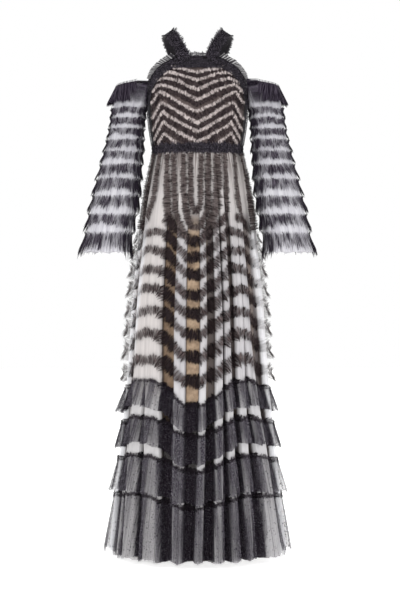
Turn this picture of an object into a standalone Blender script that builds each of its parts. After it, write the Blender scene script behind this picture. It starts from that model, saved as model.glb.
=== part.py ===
"""Tulle gown: a halter gown with off-the-shoulder bell sleeves, zigzag ruffles and gathered tiers.

Tables and sizes are in millimetres, and cloth() turns them into metres.
X runs to the right of someone facing the gown, the front faces -Y, and Z is up.
The origin is midway between the straps, at the height where they rest on the shoulders.
Angles are in degrees round the body, from the front towards +X.
"""

import math
from collections import namedtuple

import bmesh
import bpy
from mathutils import Vector

MM = 0.001
WELD = 0.00001

CLOTH = 1.5
RUFFLE_CLOTH = 1.3
TRIM = 2.0
HALF_SEAM = 0.15

# The closed form that the bodice is cut to, from the shoulders to the waist
Oval = namedtuple("Oval", "z half_width front back")
BODICE_FORM = [
    Oval(-50, 150, 52, 66),
    Oval(-98, 150, 74, 80),
    Oval(-135, 151, 91, 87),
    Oval(-170, 148, 104, 91),
    Oval(-215, 142, 116, 91),
    Oval(-250, 139, 112, 87),
    Oval(-290, 134, 101, 83),
    Oval(-328, 127, 91, 79),
    Oval(-358, 127, 91, 79),
]

# Zigzag lines down one bodice panel: heads lie flat, hems stand proud of the panel
BodiceLine = namedtuple("BodiceLine", "z_centre rise z_end end_angle raised")
BODICE_LINES = [
    BodiceLine(-75, 0.00, -75, 25.7, 0.0),
    BodiceLine(-111, 0.45, -84, 31.0, 0.0),
    BodiceLine(-125, 0.50, -90, 36.5, 3.0),
    BodiceLine(-131, 0.55, -96, 41.5, 0.0),
    BodiceLine(-144, 0.58, -104, 47.0, 4.5),
    BodiceLine(-160, 0.58, -114, 52.5, 0.0),
    BodiceLine(-175, 0.58, -134, 60.0, 5.0),
    BodiceLine(-191, 0.58, -162, 69.0, 0.0),
    BodiceLine(-206, 0.58, -192, 77.0, 5.0),
    BodiceLine(-221, 0.58, -215, 90.0, 0.0),
    BodiceLine(-236, 0.58, -238, 90.0, 5.0),
    BodiceLine(-250, 0.58, -258, 90.0, 0.0),
    BodiceLine(-264, 0.58, -276, 90.0, 5.0),
    BodiceLine(-277, 0.58, -290, 90.0, 0.0),
    BodiceLine(-291, 0.58, -302, 90.0, 5.0),
    BodiceLine(-303, 0.58, -313, 90.0, 0.0),
    BodiceLine(-316, 0.58, -324, 90.0, 3.0),
    BodiceLine(-326, 0.40, -333, 90.0, 0.0),
    BodiceLine(-341, 0.00, -341, 90.0, 0.0),
]
BODICE_COLUMNS = 12
BODICE_PEAK_X = 100
BODICE_PEAK_SHARE = 0.8
RELIEF_FULL = 0.67
RELIEF_NONE = 0.84

# Black band over the panel's edge, from the centre of the neckline to the waist at the side
YokeStep = namedtuple("YokeStep", "angle z inner_angle inner_z")
YOKE = [
    YokeStep(0.0, -75, 0.0, -112),
    YokeStep(13.0, -75, 13.0, -112),
    YokeStep(25.5, -75, 27.0, -112),
    YokeStep(33.5, -84, 31.0, -117),
    YokeStep(41.0, -94, 36.0, -124),
    YokeStep(47.0, -103, 40.0, -130),
    YokeStep(52.0, -112, 43.0, -136),
    YokeStep(60.0, -133, 50.0, -151),
    YokeStep(67.5, -155, 57.0, -168),
    YokeStep(76.5, -190, 64.0, -195),
    YokeStep(89.9, -216, 69.0, -216),
    YokeStep(89.9, -250, 69.0, -250),
    YokeStep(89.9, -290, 69.0, -290),
    YokeStep(89.9, -325, 69.0, -325),
]
YOKE_EDGE_OUT = 2.8
YOKE_INNER_OUT = 8.0

# Pale frill along the upper armhole, from its seam to its free edge
FrillStep = namedtuple("FrillStep", "angle z free_angle free_z")
ARMHOLE_FRILL = [
    FrillStep(26.1, -75, 31.0, -66),
    FrillStep(33.8, -84, 39.5, -77),
    FrillStep(41.3, -94, 47.5, -88),
    FrillStep(47.3, -103, 54.5, -100),
    FrillStep(52.5, -111, 60.5, -110),
    FrillStep(56.8, -122, 65.5, -120),
    FrillStep(60.5, -131, 68.5, -130),
    FrillStep(63.1, -139, 70.5, -138),
]
FRILL_SEAM_OUT = 1.0
FRILL_FREE_OUT = 5.0
FRILL_WAVE = 2.0

NECK_FRILL_COLUMNS = 6
NECK_FRILL_HALF_ANGLE = 9
NECK_FRILL_TOP = -66
NECK_FRILL_FOOT = -74.6
NECK_FRILL_OUT = 3.0
NECK_FRILL_WAVE = 1.5

# Underside of the right strap along its middle, from the front yoke over the shoulder to the back
StrapStep = namedtuple("StrapStep", "x y z")
STRAP = [
    StrapStep(35, -84, -88),
    StrapStep(42, -76, -67),
    StrapStep(56, -62, -42),
    StrapStep(71, -40, -15),
    StrapStep(81, -14, -2),
    StrapStep(87, 12, -3),
    StrapStep(85, 36, -17),
    StrapStep(76, 58, -40),
    StrapStep(66, 76, -64),
    StrapStep(56, 90, -88),
]
STRAP_ACROSS = Vector((0.83, 0.0, -0.56))
STRAP_EDGES = [(-19, 3.5), (-12, 0), (12, 0), (19, 3.5)]
STRAP_WAVE = 1.5
STRAP_SEAM_OUT = {"front": 2.8, "back": 2.0}

# Top edge of the right sleeve: the first steps follow the armhole, from under the arm to its front
SleeveOval = namedtuple("SleeveOval", "z centre half_width half_depth y")
SLEEVE = [
    SleeveOval(-235, 200, 46, 50, -2),
    SleeveOval(-310, 209, 49, 50, -5),
    SleeveOval(-396, 223, 57, 55, -9),
    SleeveOval(-483, 237, 65, 62, -13),
    SleeveOval(-570, 254, 65, 68, -17),
    SleeveOval(-636, 266, 68, 71, -20),
]
SLEEVE_COLUMNS = 16
SLEEVE_TOP = SleeveOval(-150, 190, 46, 57, 0)
ArmholeStep = namedtuple("ArmholeStep", "angle z out")
SLEEVE_ARMHOLE = [
    ArmholeStep(90.0, -214, 5.2),
    ArmholeStep(78.0, -192, 5.2),
    ArmholeStep(70.5, -168, 5.2),
    ArmholeStep(65.0, -144, 6.0),
]
SLEEVE_TOP_NEAR = -144
SLEEVE_TOP_FAR = -160

FLOUNCE_ROWS = 2
FLOUNCE_HEAD_RISE = 1.0
FLOUNCE_HEAD_OUT = 0.3
FLOUNCE_HEM_NEAR = -220
FLOUNCE_HEM_FAR = -212
FLOUNCE_REACH = 19
FLOUNCE_NEAR_SHARE = 0.5
FLOUNCE_WAVE = 2.0

# Gathered rows down the sleeve
SleeveRow = namedtuple("SleeveRow", "z_head z_hem reach")
SLEEVE_ROWS = [
    SleeveRow(-223, -244, 9),
    SleeveRow(-252, -273, 9),
    SleeveRow(-281, -304, 10),
    SleeveRow(-310, -341, 11),
    SleeveRow(-345, -376, 11),
    SleeveRow(-381, -418, 12),
    SleeveRow(-423, -464, 13),
    SleeveRow(-474, -512, 13),
    SleeveRow(-525, -564, 13),
    SleeveRow(-577, -636, 14),
]
SLEEVE_ROW_HEAD_OUT = 0.9
SLEEVE_ROW_NEAR_OUT = 3.5
SLEEVE_ROW_WAVES = 4
SLEEVE_ROW_WAVE = 2.0

WAISTBAND_TOP = -328
WAISTBAND_FOOT = -353
WAISTBAND_TOP_OUT = 3.4
WAISTBAND_FOOT_OUT = 3.2

# Skirt from the waist seam to the hem; gather is how far the fold lines have drifted to their hem angles
SkirtOval = namedtuple("SkirtOval", "z half_width front back flute gather")
SKIRT = [
    SkirtOval(-341.3, 127, 91, 79, 1, 0.0),
    SkirtOval(-418, 141, 101, 100, 3, 0.0),
    SkirtOval(-513, 158, 112, 119, 6, 0.0),
    SkirtOval(-629, 168, 126, 138, 9, 0.0),
    SkirtOval(-774, 181, 142, 157, 12, 0.0),
    SkirtOval(-1006, 193, 165, 184, 15, 0.35),
    SkirtOval(-1209, 211, 190, 206, 17, 0.6),
    SkirtOval(-1498, 238, 227, 236, 20, 1.0),
]

# Crest of each flute, from the right seam's front neighbour round to the back
Flute = namedtuple("Flute", "angle hem_angle rise hem_rise")
FLUTES = [
    Flute(-80, -80, 0.8, 1.0),
    Flute(-60, -62, 0.8, 1.0),
    Flute(-39, -42, 1.2, 1.1),
    Flute(-24, -27, 0.0, 0.8),
    Flute(-12, -11, 1.0, 1.0),
    Flute(-2, 1, 0.0, 0.9),
    Flute(8, 12, 0.9, 0.9),
    Flute(21, 23, 1.2, 1.0),
    Flute(36, 34, 0.9, 0.8),
    Flute(49, 47, 0.3, 1.0),
    Flute(63, 63, 0.8, 1.1),
    Flute(80, 80, 0.8, 1.0),
    Flute(100, 100, 0.8, 1.0),
    Flute(120, 119, 1.0, 1.0),
    Flute(141, 139, 0.5, 0.9),
    Flute(162, 160, 1.1, 1.0),
    Flute(182, 181, 0.5, 1.0),
    Flute(203, 202, 1.0, 0.9),
    Flute(222, 222, 0.7, 1.1),
    Flute(241, 242, 1.0, 1.0),
    Flute(260, 260, 0.8, 1.0),
]
FRONT_FLUTES = 12

LINING_COLUMNS = 24
LINING_LEVELS = [-344, -513, -774, -1120]
LINING_SEAM_GAP = 0.2
LINING_GAP = 5.0

# Zigzag lines: at an angle from the front or from the back, the share of each drop below the peaks
ZigzagStep = namedtuple("ZigzagStep", "angle centre_share side_share")
ZIGZAG = [
    ZigzagStep(-90, 0.0, 1.0),
    ZigzagStep(-56, 0.0, 0.0),
    ZigzagStep(-33, 0.0, 0.0),
    ZigzagStep(-9, 1.0, 0.0),
    ZigzagStep(4, 1.0, 0.0),
    ZigzagStep(29, 0.0, 0.0),
    ZigzagStep(43, 0.0, 0.0),
    ZigzagStep(90, 0.0, 1.0),
]

RuffleRow = namedtuple("RuffleRow", "z_head centre_drop side_drop height")
SKIRT_RUFFLES = [
    RuffleRow(-526, 69, 66, 26),
    RuffleRow(-569, 71, 68, 26),
    RuffleRow(-620, 71, 70, 27),
    RuffleRow(-675, 71, 70, 28),
    RuffleRow(-732, 70, 70, 28),
    RuffleRow(-791, 67, 68, 29),
    RuffleRow(-857, 66, 64, 30),
    RuffleRow(-930, 57, 56, 32),
]
RUFFLE_HEAD_OUT = 2.5
RUFFLE_HEM_OUT = 6.0

Tier = namedtuple("Tier", "z_head centre_drop side_drop z_hem hem_centre_drop hem_side_drop reach")
TIERS = [
    Tier(-1000, 68, 35, -1075, 66, 30, 26),
    Tier(-1103, 48, 30, -1180, 55, 25, 20),
    Tier(-1210, 38, 25, -1314, 30, 20, 20),
    Tier(-1318, 30, 20, -1505, 0, 0, 17),
]
TIER_HEAD_OUT = 2.0

UPRIGHT_TOP = -356
UPRIGHT_BAR_FOOT = -364
UPRIGHT_BAR_OUT = 3.4
UPRIGHT_OUT = 1.6
UPRIGHT_CLOTH = 2.5
UPRIGHT_LEVELS = 4
UPRIGHT_FOOT_GAP = 5

# Each finish: red, green, blue, roughness
FINISHES = {
    "black_tulle": (0.030, 0.024, 0.030, 0.85),
    "ivory_tulle": (0.69, 0.62, 0.58, 0.80),
    "pale_tulle": (0.60, 0.58, 0.61, 0.80),
    "nude_lining": (0.61, 0.43, 0.27, 0.60),
}


def clear_scene():
    for thing in list(bpy.data.objects):
        bpy.data.objects.remove(thing, do_unlink=True)


def make_collection(name):
    group = bpy.data.collections.new(name)
    bpy.context.scene.collection.children.link(group)
    return group


def make_material(name):
    red, green, blue, roughness = FINISHES[name]
    material = bpy.data.materials.new(name)
    material.use_nodes = True
    shader = material.node_tree.nodes["Principled BSDF"]
    shader.inputs["Base Color"].default_value = (red, green, blue, 1.0)
    shader.inputs["Roughness"].default_value = roughness
    shader.inputs["Metallic"].default_value = 0.0
    return material


def mix(start, end, share):
    return start + (end - start) * share


def at(table, z):
    """The row of a table at height z, between the rows above and below it."""
    pairs = list(zip(table, table[1:]))
    upper, lower = next((pair for pair in pairs if z >= pair[1].z), pairs[-1])
    share = (upper.z - z) / (upper.z - lower.z)
    return type(upper)(*(mix(a, b, share) for a, b in zip(upper, lower)))


def on_oval(oval, degrees, out):
    """A point round an oval section, moved out square to the section."""
    angle = math.radians(degrees)
    depth = oval.front if math.cos(angle) > 0 else oval.back
    x, y = math.sin(angle), -math.cos(angle)
    square = Vector((x / oval.half_width, y / depth)).normalized()
    return Vector((oval.half_width * x + square.x * out, depth * y + square.y * out, oval.z))


def place_points(verts, columns, rows, place):
    """Move a flat grid's points on to the cloth; columns run round the body, rows run down."""
    for vert in verts:
        column = round((vert.co.x + 0.5) * columns)
        row = round((0.5 - vert.co.y) * rows)
        vert.co = place(column, row) * MM


def make_piece(name, grid, group, material):
    mesh = bpy.data.meshes.new(name)
    grid.to_mesh(mesh)
    grid.free()
    mesh.materials.append(material)
    piece = bpy.data.objects.new(name, mesh)
    group.objects.link(piece)
    return piece


def cloth(name, columns, rows, place, thickness, group, material, inward=False, keep=None):
    """One piece of cloth: an open surface with a Solidify wall, outside it or inside it."""
    grid = bmesh.new()
    bmesh.ops.create_grid(grid, x_segments=columns, y_segments=rows, size=0.5)
    if keep:
        unused = []
        for face in grid.faces:
            middle = face.calc_center_median()
            column, row = int((middle.x + 0.5) * columns), int((0.5 - middle.y) * rows)
            if not keep(column, row):
                unused.append(face)
        bmesh.ops.delete(grid, geom=unused, context="FACES")
    place_points(grid.verts, columns, rows, place)
    bmesh.ops.remove_doubles(grid, verts=grid.verts, dist=WELD)
    piece = make_piece(name, grid, group, material)
    wall = piece.modifiers.new("wall", "SOLIDIFY")
    wall.thickness = thickness * MM
    wall.offset = -1.0 if inward else 1.0
    return piece


def raised_cloth(name, columns, rows, outer, inner, group, material):
    """A panel whose outer face carries relief over a plain inside."""
    panel = bmesh.new()
    bmesh.ops.create_grid(panel, x_segments=columns, y_segments=rows, size=0.5)
    inner_verts = list(panel.verts)
    doubled = bmesh.ops.extrude_face_region(panel, geom=panel.faces[:], use_keep_orig=True)
    outer_verts = [item for item in doubled["geom"] if isinstance(item, bmesh.types.BMVert)]
    place_points(inner_verts, columns, rows, inner)
    place_points(outer_verts, columns, rows, outer)
    bmesh.ops.recalc_face_normals(panel, faces=panel.faces)
    return make_piece(name, panel, group, material)


def seam_shift(point, side):
    """Part the front pieces from the back ones by half a seam gap each."""
    return point + Vector((0.0, -HALF_SEAM if side == "front" else HALF_SEAM, 0.0))


def bodice_point(side, degrees, z, out):
    turned = degrees if side == "front" else degrees + 180
    return seam_shift(on_oval(at(BODICE_FORM, z), turned, out), side)


def bodice_spot(line, share):
    """Angle and height of a zigzag line, from its left end (-1) to its right end (1)."""
    angle = line.end_angle * share
    end_x = at(BODICE_FORM, line.z_end).half_width * math.sin(math.radians(line.end_angle))
    x = abs(at(BODICE_FORM, line.z_end).half_width * math.sin(math.radians(angle)))
    turn_x = min(BODICE_PEAK_X, BODICE_PEAK_SHARE * end_x)
    peak_z = line.z_centre + line.rise * turn_x
    if x <= turn_x:
        return angle, line.z_centre + line.rise * x
    return angle, mix(peak_z, line.z_end, (x - turn_x) / (end_x - turn_x))


def make_bodice(side, group, materials):
    last = len(BODICE_LINES) - 1

    def face(column, row, out, relief):
        line = BODICE_LINES[row]
        share = 2 * column / BODICE_COLUMNS - 1
        angle, z = bodice_spot(line, share)
        fade = min(max((RELIEF_NONE - abs(share)) / (RELIEF_NONE - RELIEF_FULL), 0.0), 1.0)
        return bodice_point(side, angle, z, out + relief * fade * line.raised)

    raised_cloth("bodice_" + side, BODICE_COLUMNS, last,
                 lambda column, row: face(column, row, 0.0, 1.0),
                 lambda column, row: face(column, row, -CLOTH, 0.0),
                 group, materials["ivory_tulle"])


def make_yoke(side, group, materials):
    steps = len(YOKE) - 1

    def place(column, row):
        step = YOKE[abs(column - steps)]
        sign = 1 if column >= steps else -1
        if row == 0:
            return bodice_point(side, sign * step.angle, step.z, YOKE_EDGE_OUT)
        return bodice_point(side, sign * step.inner_angle, step.inner_z, YOKE_INNER_OUT)

    cloth("yoke_" + side, 2 * steps, 1, place, TRIM, group, materials["black_tulle"])


def make_armhole_frills(side, group, materials):
    steps = len(ARMHOLE_FRILL) - 1
    for hand, sign in (("right", 1), ("left", -1)):

        def place(column, row):
            step = ARMHOLE_FRILL[column if sign > 0 else steps - column]
            if row == 1:
                return bodice_point(side, sign * step.angle, step.z, FRILL_SEAM_OUT)
            wave = FRILL_WAVE * (-1) ** column
            return bodice_point(side, sign * step.free_angle, step.free_z, FRILL_FREE_OUT + wave)

        # A front piece and the back piece on the same hand mirror each other
        own_hand = hand if side == "front" else {"right": "left", "left": "right"}[hand]
        cloth(f"armhole_frill_{side}_{own_hand}", steps, 1, place, CLOTH, group, materials["pale_tulle"])


def make_neck_frill(group, materials):
    def place(column, row):
        degrees = NECK_FRILL_HALF_ANGLE * (2 * column / NECK_FRILL_COLUMNS - 1)
        if row == 1:
            return bodice_point("front", degrees, NECK_FRILL_FOOT, 0.0)
        out = NECK_FRILL_OUT + NECK_FRILL_WAVE * (-1) ** column
        return bodice_point("front", degrees, NECK_FRILL_TOP, out)

    cloth("neck_frill", NECK_FRILL_COLUMNS, 1, place, RUFFLE_CLOTH, group, materials["black_tulle"])


def on_yoke(point):
    """The spot on the yoke's outer face at a point's own height and distance from the middle."""
    side = "front" if point.y < 0 else "back"
    share = (YOKE[0].z - point.z) / (YOKE[0].z - YOKE[0].inner_z)
    out = mix(YOKE_EDGE_OUT, YOKE_INNER_OUT, share) + TRIM + STRAP_SEAM_OUT[side]
    degrees = math.degrees(math.asin(point.x / at(BODICE_FORM, point.z).half_width))
    return bodice_point(side, degrees if side == "front" else -degrees, point.z, out)


def make_straps(group, materials):
    across = STRAP_ACROSS.normalized()
    middle = [Vector(step) for step in STRAP]
    last = len(middle) - 1
    for hand, sign in (("right", 1), ("left", -1)):

        def place(column, row):
            ahead, behind = middle[min(row + 1, last)], middle[max(row - 1, 0)]
            outward = across.cross(ahead - behind).normalized()
            side, lift = STRAP_EDGES[column if sign > 0 else len(STRAP_EDGES) - 1 - column]
            point = middle[row] + across * side
            if row in (0, last):
                point = on_yoke(point)
            elif lift:
                point += outward * (lift + STRAP_WAVE * (-1) ** row)
            return Vector((sign * point.x, point.y, point.z))

        cloth("strap_" + hand, len(STRAP_EDGES) - 1, last, place, TRIM, group,
              materials["black_tulle"])


def make_waistband(group, materials):
    columns = 2 * len(FLUTES)

    def place(column, row):
        degrees = 360 * column / columns - 90
        if row == 0:
            return on_oval(at(BODICE_FORM, WAISTBAND_TOP), degrees, WAISTBAND_TOP_OUT)
        return on_oval(at(SKIRT, WAISTBAND_FOOT), degrees, WAISTBAND_FOOT_OUT)

    cloth("waistband", columns, 1, place, TRIM, group, materials["black_tulle"])


def sleeve_turn(column):
    """Degrees round the sleeve, from the side next to the body towards the front."""
    return 360 * column / SLEEVE_COLUMNS


def sleeve_edge(column):
    """The right sleeve's top edge: along the armhole on the body side, free round the arm."""
    column = column % SLEEVE_COLUMNS
    from_body = min(column, SLEEVE_COLUMNS - column)
    sign = 1 if column <= SLEEVE_COLUMNS / 2 else -1
    if from_body < len(SLEEVE_ARMHOLE):
        step = SLEEVE_ARMHOLE[from_body]
        point = on_oval(at(BODICE_FORM, step.z), step.angle, step.out)
        return Vector((point.x, point.y * sign, point.z))
    first = len(SLEEVE_ARMHOLE) - 1
    share = (from_body - first) / (SLEEVE_COLUMNS / 2 - first)
    turn = math.radians(sleeve_turn(column))
    top = SLEEVE_TOP
    return Vector((top.centre - top.half_width * math.cos(turn),
                   top.y - top.half_depth * math.sin(turn),
                   mix(SLEEVE_TOP_NEAR, SLEEVE_TOP_FAR, share)))


def sleeve_point(column, z, out):
    """A point on the right sleeve at height z, moved out square to the sleeve's section."""
    turn = math.radians(sleeve_turn(column))
    oval = at(SLEEVE, min(z, SLEEVE[0].z))
    ring = Vector((oval.centre - oval.half_width * math.cos(turn),
                   oval.y - oval.half_depth * math.sin(turn), oval.z))
    square = Vector((-math.cos(turn) / oval.half_width, -math.sin(turn) / oval.half_depth, 0)).normalized()
    if z > SLEEVE[0].z:
        edge = sleeve_edge(column)
        ring = ring.lerp(edge, min((z - ring.z) / (edge.z - ring.z), 1.0))
    return ring + square * out


def mirrored(place, columns, sign):
    """The same piece for the right hand (1) or, mirrored, for the left hand (-1)."""
    if sign > 0:
        return place

    def place_left(column, row):
        point = place(columns - column, row)
        return Vector((-point.x, point.y, point.z))

    return place_left


def body_side(column):
    """1 on the sleeve's side next to the body, falling to 0 at its front, outside and back."""
    return max(math.cos(math.radians(sleeve_turn(column))), 0.0)


def make_sleeves(group, materials):
    levels = [oval.z for oval in SLEEVE]
    for hand, sign in (("right", 1), ("left", -1)):

        def tube(column, row):
            if row == 0:
                return sleeve_edge(column)
            return sleeve_point(column, levels[row - 1], 0.0)

        cloth("sleeve_" + hand, SLEEVE_COLUMNS, len(levels), mirrored(tube, SLEEVE_COLUMNS, sign),
              CLOTH, group, materials["pale_tulle"], inward=True)
        make_sleeve_flounce(hand, sign, group, materials)
        make_sleeve_rows(hand, sign, group, materials)


def make_sleeve_flounce(hand, sign, group, materials):
    first = len(SLEEVE_ARMHOLE) - 1
    columns = SLEEVE_COLUMNS - 2 * first

    def flounce(column, row):
        turn = column + first
        far = 0.5 - 0.5 * math.cos(math.radians(sleeve_turn(turn)))
        edge = sleeve_edge(turn).z
        share = row / FLOUNCE_ROWS
        z = mix(edge + FLOUNCE_HEAD_RISE, mix(FLOUNCE_HEM_NEAR, FLOUNCE_HEM_FAR, far), share)
        reach = FLOUNCE_REACH * mix(FLOUNCE_NEAR_SHARE, 1.0, far)
        out = mix(FLOUNCE_HEAD_OUT, reach, share) + FLOUNCE_WAVE * share * (-1) ** column
        return sleeve_point(turn, min(z, edge), out) + Vector((0, 0, max(z - edge, 0)))

    cloth("sleeve_flounce_" + hand, columns, FLOUNCE_ROWS, mirrored(flounce, columns, sign),
          RUFFLE_CLOTH, group, materials["black_tulle"])


def make_sleeve_rows(hand, sign, group, materials):
    for number, step in enumerate(SLEEVE_ROWS, start=1):

        def ring(column, row):
            if row == 0:
                return sleeve_point(column, step.z_head, SLEEVE_ROW_HEAD_OUT)
            turn = math.radians(sleeve_turn(column))
            wave = SLEEVE_ROW_WAVE * math.cos(SLEEVE_ROW_WAVES * turn + number * math.pi)
            out = mix(step.reach, SLEEVE_ROW_NEAR_OUT, body_side(column)) + wave
            return sleeve_point(column, step.z_hem, out)

        cloth(f"sleeve_frill_{hand}_{number:02d}", SLEEVE_COLUMNS, 1,
              mirrored(ring, SLEEVE_COLUMNS, sign), RUFFLE_CLOTH, group, materials["black_tulle"])


def fold_line(step, gather):
    """Angle and rise of a fold line: even steps are valleys, odd steps are the flutes' crests."""
    if step % 2:
        number = step // 2
        flute = FLUTES[number % len(FLUTES)]
        turns = number // len(FLUTES)
        angle = mix(flute.angle, flute.hem_angle, gather) + 360 * turns
        return angle, mix(flute.rise, flute.hem_rise, gather)
    before, after = fold_line(step - 1, gather), fold_line(step + 1, gather)
    return (before[0] + after[0]) / 2, -1.0


def skirt_fold(step, z):
    """Angle and rise at height z, at a fold line or part of the way to the next one."""
    gather = at(SKIRT, z).gather
    low = math.floor(step)
    before, after = fold_line(low, gather), fold_line(low + 1, gather)
    return mix(before[0], after[0], step - low), mix(before[1], after[1], step - low)


def skirt_point(step, z, out):
    angle, rise = skirt_fold(step, z)
    oval = at(SKIRT, z)
    return on_oval(oval, angle, out + rise * oval.flute)


def zigzag_drop(degrees, centre_drop, side_drop):
    """How far a zigzag line hangs below its peaks, at an angle from the front."""
    turn = (degrees + 90) % 180 - 90
    pairs = list(zip(ZIGZAG, ZIGZAG[1:]))
    near, far = next(pair for pair in pairs if turn <= pair[1].angle)
    share = (turn - near.angle) / (far.angle - near.angle)
    centre_share = mix(near.centre_share, far.centre_share, share)
    side_share = mix(near.side_share, far.side_share, share)
    return centre_drop * centre_share + side_drop * side_share


def make_skirt(group, materials):
    levels = [oval.z for oval in SKIRT]
    rows = len(levels) - 1
    halves = (("front", 0, FRONT_FLUTES), ("back", FRONT_FLUTES, len(FLUTES) - FRONT_FLUTES))
    for side, first, flutes in halves:

        def place(column, row):
            return seam_shift(skirt_point(2 * first + column / 2, levels[row], 0.0), side)

        cloth("skirt_" + side, 4 * flutes, rows, place, CLOTH, group,
              materials["ivory_tulle"], inward=True)
        make_uprights(side, first, flutes, group, materials)


def make_uprights(side, first, flutes, group, materials):
    """Narrow ruffles down the valleys of one half of the skirt, joined by a strip under the waistband."""
    chords = 2 * flutes - 1
    rows = UPRIGHT_LEVELS

    def place(column, row):
        step = 2 * first + column + 0.5
        if row == 0:
            return seam_shift(skirt_point(step, UPRIGHT_TOP, UPRIGHT_BAR_OUT), side)
        if row == 1:
            return seam_shift(skirt_point(step, UPRIGHT_BAR_FOOT, UPRIGHT_BAR_OUT), side)
        ruffle = SKIRT_RUFFLES[0]
        angle = skirt_fold(step, ruffle.z_head)[0]
        foot = ruffle.z_head - zigzag_drop(angle, ruffle.centre_drop, ruffle.side_drop) + UPRIGHT_FOOT_GAP
        z = mix(UPRIGHT_BAR_FOOT, foot, (row - 1) / (rows - 1))
        return seam_shift(skirt_point(step, z, UPRIGHT_OUT), side)

    cloth("upright_ruffles_" + side, chords, rows, place, UPRIGHT_CLOTH, group,
          materials["black_tulle"], keep=lambda column, row: row == 0 or column % 2 == 1)


def make_lining(group, materials):
    def place(column, row):
        oval = at(SKIRT, LINING_LEVELS[row])
        inside = -(oval.flute + CLOTH + (LINING_SEAM_GAP if row == 0 else LINING_GAP))
        return on_oval(oval, 360 * column / LINING_COLUMNS, inside)

    cloth("lining", LINING_COLUMNS, len(LINING_LEVELS) - 1, place, CLOTH, group,
          materials["nude_lining"], inward=True)


def make_skirt_ruffles(group, materials):
    columns = 2 * len(FLUTES)
    for number, ruffle in enumerate(SKIRT_RUFFLES, start=1):

        def place(column, row):
            angle = skirt_fold(column, ruffle.z_head)[0]
            head = ruffle.z_head - zigzag_drop(angle, ruffle.centre_drop, ruffle.side_drop)
            if row == 0:
                return skirt_point(column, head, RUFFLE_HEAD_OUT)
            return skirt_point(column, head - ruffle.height, RUFFLE_HEM_OUT)

        cloth(f"skirt_ruffle_{number}", columns, 1, place, TRIM, group, materials["black_tulle"])


def make_tiers(group, materials):
    columns = 4 * len(FLUTES)
    for number, tier in enumerate(TIERS, start=1):

        def place(column, row):
            step = column / 2
            angle = skirt_fold(step, tier.z_head)[0]
            if row == 0:
                head = tier.z_head - zigzag_drop(angle, tier.centre_drop, tier.side_drop)
                return skirt_point(step, head, TIER_HEAD_OUT)
            hem = tier.z_hem - zigzag_drop(angle, tier.hem_centre_drop, tier.hem_side_drop)
            return skirt_point(step, hem, tier.reach)

        cloth(f"tier_{number}", columns, 1, place, CLOTH, group, materials["black_tulle"])


def build_gown():
    clear_scene()
    group = make_collection("tulle_gown")
    materials = {name: make_material(name) for name in FINISHES}
    for side in ("front", "back"):
        make_bodice(side, group, materials)
        make_yoke(side, group, materials)
        make_armhole_frills(side, group, materials)
    make_neck_frill(group, materials)
    make_straps(group, materials)
    make_waistband(group, materials)
    make_sleeves(group, materials)
    make_skirt(group, materials)
    make_lining(group, materials)
    make_skirt_ruffles(group, materials)
    make_tiers(group, materials)


build_gown()
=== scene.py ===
# %% [markdown]
# # A tulle gown in its worn shape
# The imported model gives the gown's form: bodice, straps, bell sleeves and a fluted skirt.
# Here each of its solids is replaced by thin cloth on the same form. Every ruffle is a strip of
# net gathered along a line, so one function that lays a wavy strip along a line makes most of
# the gown, and the sheerness, the threads and the frayed edges come from the materials.

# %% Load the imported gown
import math

import bmesh
import bpy
import numpy as np
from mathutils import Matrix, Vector


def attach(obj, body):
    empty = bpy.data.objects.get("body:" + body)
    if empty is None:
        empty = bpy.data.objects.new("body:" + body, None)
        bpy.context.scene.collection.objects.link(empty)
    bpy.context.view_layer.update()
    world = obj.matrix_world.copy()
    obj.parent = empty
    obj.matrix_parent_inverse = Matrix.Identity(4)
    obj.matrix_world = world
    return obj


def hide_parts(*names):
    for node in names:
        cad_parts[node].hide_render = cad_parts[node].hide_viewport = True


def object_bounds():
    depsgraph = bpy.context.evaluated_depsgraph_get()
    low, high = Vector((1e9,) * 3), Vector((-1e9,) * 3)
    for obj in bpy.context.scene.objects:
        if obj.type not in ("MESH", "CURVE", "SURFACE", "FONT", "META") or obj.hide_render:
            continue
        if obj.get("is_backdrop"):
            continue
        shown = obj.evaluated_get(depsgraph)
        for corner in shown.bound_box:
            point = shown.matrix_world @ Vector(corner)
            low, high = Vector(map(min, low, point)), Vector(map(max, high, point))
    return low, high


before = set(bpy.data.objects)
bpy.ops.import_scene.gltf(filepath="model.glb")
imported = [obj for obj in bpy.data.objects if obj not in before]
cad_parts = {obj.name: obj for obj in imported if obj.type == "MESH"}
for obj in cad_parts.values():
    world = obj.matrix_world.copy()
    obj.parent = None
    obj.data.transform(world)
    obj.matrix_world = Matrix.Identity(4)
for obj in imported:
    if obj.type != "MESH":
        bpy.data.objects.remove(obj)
cad_low, cad_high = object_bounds()
scene = bpy.context.scene
MM = 0.001
SIDES = ("front", "back")
HANDS = {"left": -1, "right": 1}  # on which side of x each hand's pieces lie
print("nodes:", len(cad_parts), "box:", [round(v, 3) for v in (*cad_low, *cad_high)])

# %% [markdown]
# ## The form under the cloth
# A gown is cut to a body, so its cross-sections are ovals that change with height. The tables
# are the model's own, in millimetres. Reading them a little above and below each height and
# taking the middle rounds the corners, so that the cloth hangs in one smooth line.

# %% Tables of the form: height, half width, depth in front, depth behind
BODICE_FORM = np.array([
    (-50, 150, 52, 66), (-98, 150, 74, 80), (-135, 151, 91, 87), (-170, 148, 104, 91),
    (-215, 142, 116, 91), (-250, 139, 112, 87), (-290, 134, 101, 83), (-328, 127, 91, 79),
    (-358, 127, 91, 79)], float)
# the last column is how far the flutes stand in and out
SKIRT_FORM = np.array([
    (-341, 127, 91, 79, 1), (-418, 141, 101, 100, 3), (-513, 158, 112, 119, 6),
    (-629, 168, 126, 138, 9), (-774, 181, 142, 157, 12), (-1006, 193, 165, 184, 15),
    (-1209, 211, 190, 206, 17), (-1498, 238, 227, 236, 20)], float)
ROUNDING = 14
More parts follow.
